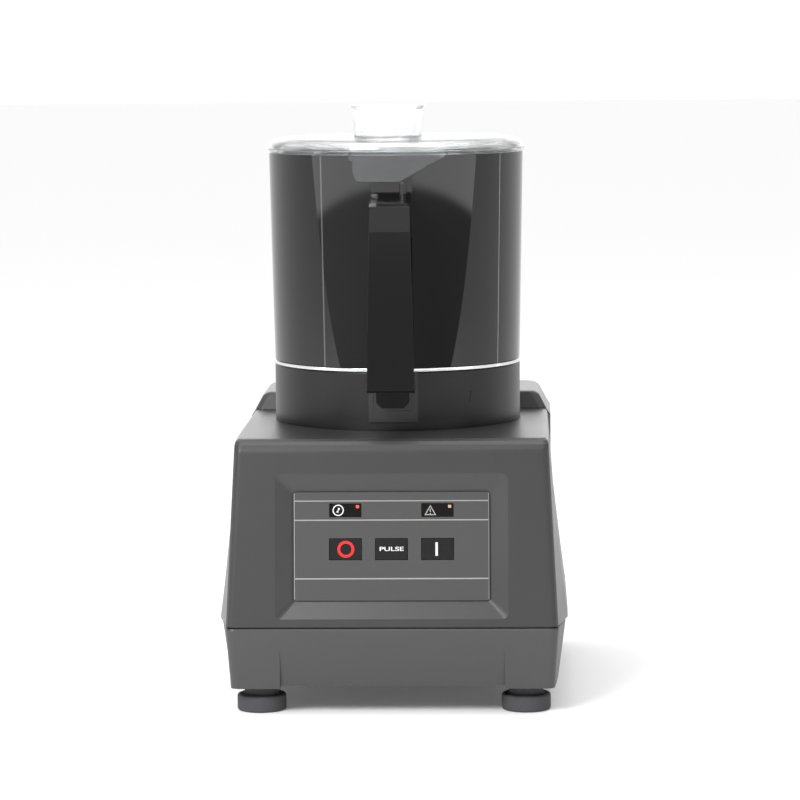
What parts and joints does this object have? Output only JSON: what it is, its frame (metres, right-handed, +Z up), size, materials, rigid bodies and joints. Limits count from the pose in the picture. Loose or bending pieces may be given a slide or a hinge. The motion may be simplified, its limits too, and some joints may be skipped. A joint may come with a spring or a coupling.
{
  "type": "vertical cutter mixer",
  "caption": "Countertop food cutter: keypad motor base on rubber feet, black bowl with vertical handle, bladed knife, and a clear lid whose helical tab works a safety rod.",
  "frame": {"origin": "drive axis at the level of the table the feet stand on", "axes": "+Z up along the drive axis, -Y out of the sloped front with the keypad, +X to the right as seen from the front"},
  "size_m": [0.2526, 0.3226, 0.4331],
  "materials": {
    "housing_abs": "satin",
    "tray_abs": "satin",
    "foot_rubber": "matte",
    "fastener_steel": "satin",
    "overlay_film": "satin",
    "key_plastic": "satin",
    "smoked_lens": "gloss",
    "led_lens": "gloss",
    "board_laminate": "satin",
    "switch_plastic": "satin",
    "collar_plastic": "satin",
    "keeper_plastic": "satin",
    "sensor_glass": "gloss",
    "seal_rubber": "matte",
    "plate_steel": "satin",
    "cap_aluminium": "cast",
    "can_steel": "satin",
    "core_steel": "laminated",
    "winding_copper": "enamelled",
    "bearing_steel": "polished",
    "capacitor_can": "satin",
    "clip_steel": "satin",
    "terminal_plastic": "satin",
    "gland_plastic": "satin",
    "shaft_steel": "ground",
    "fan_plastic": "satin",
    "knife_steel": "satin",
    "blade_steel": "ground",
    "cap_plastic": "gloss",
    "ring_steel": "polished",
    "bowl_plastic": "gloss",
    "handle_plastic": "gloss",
    "magnet_metal": "plated",
    "spring_steel": "drawn",
    "lid_clear": "clear",
    "lid_seal_rubber": "satin"
  },
  "bodies": {
    "base": {"upper_housing": "housing_abs", "rear_hump": "housing_abs", "base_tray": "tray_abs", "foot_front_left": "foot_rubber", "foot_front_right": "foot_rubber", "foot_rear_left": "foot_rubber", "foot_rear_right": "foot_rubber", "foot_screws": "fastener_steel", "housing_screws": "fastener_steel", "keypad_overlay": "overlay_film", "lamp_window_power": "smoked_lens", "lamp_window_fault": "smoked_lens", "status_leds": "led_lens", "circuit_board": "board_laminate", "tact_switches": "switch_plastic", "board_screws": "fastener_steel", "bowl_seat": "collar_plastic", "keeper_block": "keeper_plastic", "bowl_sensor": "sensor_glass", "shaft_seal": "seal_rubber", "motor_plate": "plate_steel", "plate_screws": "fastener_steel", "motor_top_cap": "cap_aluminium", "motor_can": "can_steel", "motor_bottom_cap": "cap_aluminium", "stator_core": "core_steel", "stator_winding": "winding_copper", "upper_bearing": "bearing_steel", "lower_bearing": "bearing_steel", "motor_bolts": "fastener_steel", "run_capacitor": "capacitor_can", "capacitor_clip": "clip_steel", "terminal_block": "terminal_plastic", "cable_gland": "gland_plastic"},
    "rotor": {"drive_shaft": "shaft_steel", "rotor_core": "core_steel", "cooling_fan": "fan_plastic"},
    "knife": {"knife_hub": "knife_steel", "lower_blade": "blade_steel", "blade_spacer": "knife_steel", "upper_blade": "blade_steel", "blade_nut": "knife_steel", "hub_cap": "cap_plastic"},
    "bowl_ring": {"bowl_foot_ring": "ring_steel"},
    "bowl": {"bowl": "bowl_plastic", "bowl_floor": "bowl_plastic", "bowl_chimney": "bowl_plastic", "handle_grip": "handle_plastic", "handle_cover": "handle_plastic", "handle_screws": "fastener_steel", "rod_spring": "spring_steel"},
    "lid_ring": {"lid_seal": "lid_seal_rubber"},
    "lid": {"lid": "lid_clear", "feed_tube": "lid_clear"},
    "rod": {"interlock_rod": "shaft_steel", "rod_magnet": "magnet_metal"},
    "key_off": {"key_off": "key_plastic"},
    "key_pulse": {"key_pulse": "key_plastic"},
    "key_on": {"key_on": "key_plastic"}
  },
  "joints": [
    {"name": "rotor_spin", "type": "hinge", "parent": "base", "child": "rotor", "pos_m": [0, 0, 0], "axis": [0, 0, 1], "continuous": true},
    {"name": "knife_lift", "type": "slide", "parent": "rotor", "child": "knife", "axis": [0, 0, 1], "range_m": [0, 0.12]},
    {"name": "bowl_lift", "type": "slide", "parent": "base", "child": "bowl_ring", "axis": [0, 0, 1], "range_m": [0, 0.12]},
    {"name": "bowl_turn", "type": "hinge", "parent": "bowl_ring", "child": "bowl", "pos_m": [0, 0, 0], "axis": [0, 0, 1], "range_deg": [0, 37]},
    {"name": "lid_lift", "type": "slide", "parent": "bowl", "child": "lid_ring", "axis": [0, 0, 1], "range_m": [0, 0.06]},
    {"name": "lid_turn", "type": "hinge", "parent": "lid_ring", "child": "lid", "pos_m": [0, 0, 0], "axis": [0, 0, 1], "range_deg": [-19.5, 0]},
    {"name": "rod_slide", "type": "slide", "parent": "bowl", "child": "rod", "axis": [0, 0, 1], "range_m": [0, 0.019], "deforming": ["rod_spring"]},
    {"name": "key_off_press", "type": "slide", "parent": "base", "child": "key_off", "axis": [0, 0.992, -0.1259], "range_m": [0, 0.0008], "stiffness_N_per_m": 400},
    {"name": "key_pulse_press", "type": "slide", "parent": "base", "child": "key_pulse", "axis": [0, 0.992, -0.1259], "range_m": [0, 0.0008], "stiffness_N_per_m": 400},
    {"name": "key_on_press", "type": "slide", "parent": "base", "child": "key_on", "axis": [0, 0.992, -0.1259], "range_m": [0, 0.0008], "stiffness_N_per_m": 400}
  ],
  "couplings": [
    {"joint": "knife_lift", "follows": "bowl_lift", "ratio": 1},
    {"joint": "rod_slide", "follows": "lid_turn", "m_per_rad": -0.0558}
  ]
}
